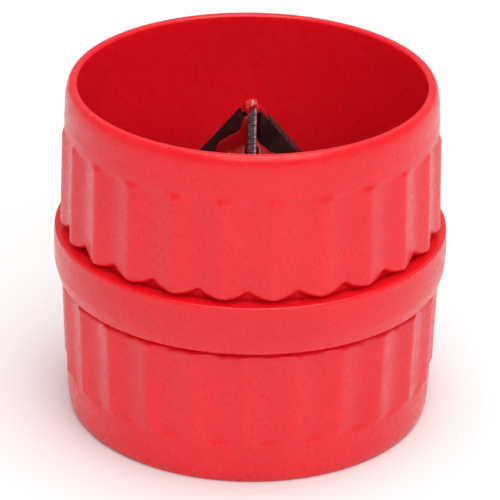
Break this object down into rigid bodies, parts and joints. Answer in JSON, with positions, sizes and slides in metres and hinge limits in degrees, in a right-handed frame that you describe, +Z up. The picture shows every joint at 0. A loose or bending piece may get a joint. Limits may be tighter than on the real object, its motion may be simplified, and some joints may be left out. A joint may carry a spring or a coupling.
{
  "type": "deburring tool",
  "caption": "Barrel-shaped hand deburring tool for pipe ends: a ribbed red barrel with fixed steel blades that form a cone in one cup and a funnel in the other.",
  "frame": {"origin": "centre of the resting face, on the barrel's axis", "axes": "+Z up along the barrel's axis, towards the cup with the cone of blades; -Y towards the first blade"},
  "size_m": [0.06, 0.06, 0.0533],
  "materials": {
    "shell_plastic": "satin moulded red",
    "ring_plastic": "satin moulded red",
    "carrier_plastic": "moulded red",
    "cap_plastic": "glossy moulded red",
    "blade_steel": "dark oxide faces with ground edges"
  },
  "bodies": {
    "root": {"upper_shell": "shell_plastic", "lower_shell": "shell_plastic", "grip_ring": "ring_plastic", "blade_carrier": "carrier_plastic", "blade_front": "blade_steel", "blade_right": "blade_steel", "blade_left": "blade_steel", "apex_cap": "cap_plastic"}
  },
  "joints": []
}
